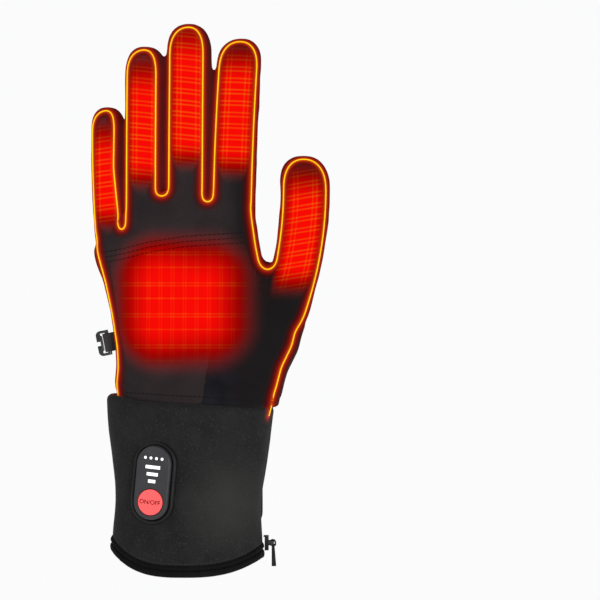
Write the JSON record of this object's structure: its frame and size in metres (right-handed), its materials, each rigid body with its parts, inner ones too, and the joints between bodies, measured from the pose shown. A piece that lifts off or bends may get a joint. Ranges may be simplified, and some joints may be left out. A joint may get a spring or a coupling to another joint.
{
  "type": "heated glove",
  "caption": "Left-hand heated glove as a hand fills it: heating wire round every finger, padded zipped cuff with strap, slit, push-button control pod and side clip.",
  "frame": {"origin": "centre of the cuff's mouth, where the wrist goes in, level with the lowest point of the hem", "axes": "+Z from the wrist to the fingertips, +X towards the thumb, -Y out of the back of the hand"},
  "size_m": [0.1354, 0.0678, 0.3107],
  "materials": {
    "stretch_fabric": "matt brushed stretch cloth",
    "thumb_fabric": "matt, darker stretch cloth",
    "grip_fabric": "cloth with a raised glossy hexagon grip print",
    "neoprene": "fine knit over padding",
    "binding": "rolled cloth binding",
    "webbing": "woven webbing",
    "pod_plastic": "satin",
    "pod_rim": "soft welded rim",
    "button_red": "satin, lit from behind",
    "lamp_white": "lit",
    "zip_plastic": "satin",
    "clip_plastic": "semi-gloss",
    "heating_wire": "glowing yellow"
  },
  "bodies": {
    "glove": {"back_panel": "stretch_fabric", "thumb_back_panel": "thumb_fabric", "palm_panel": "grip_fabric", "thumb_palm_panel": "grip_fabric", "pinky_side_strip": "stretch_fabric", "pinky_ring_fourchette": "stretch_fabric", "ring_middle_fourchette": "stretch_fabric", "middle_index_fourchette": "stretch_fabric", "index_thumb_strip": "stretch_fabric", "thumb_side_strip": "stretch_fabric", "heating_wire_back": "heating_wire", "heating_wire_palm": "heating_wire", "cuff": "neoprene", "cuff_hem": "binding", "slit_binding": "binding", "slit_pleat": "thumb_fabric", "wrist_strap": "neoprene", "strap_binding": "binding", "control_pod": "pod_plastic", "pod_rim": "pod_rim", "zip_slider": "zip_plastic", "webbing_tab": "webbing", "glove_clip": "clip_plastic", "charge_dot_1": "lamp_white", "charge_dot_2": "lamp_white", "charge_dot_3": "lamp_white", "charge_dot_4": "lamp_white", "heat_bar_1": "lamp_white", "heat_bar_2": "lamp_white", "heat_bar_3": "lamp_white"},
    "zip_pull": {"zip_pull": "zip_plastic"},
    "power_button": {"power_button": "button_red"}
  },
  "joints": [
    {"name": "zip_pull_swing", "type": "hinge", "parent": "glove", "child": "zip_pull", "pos_m": [0.04738, 0, 0.01868], "axis": [0, -1, 0], "range_deg": [-10, 150]},
    {"name": "power_button_press", "type": "slide", "parent": "glove", "child": "power_button", "axis": [0.298, 0.9546, 0], "range_m": [0, 0.0006], "stiffness_N_per_m": 900}
  ]
}
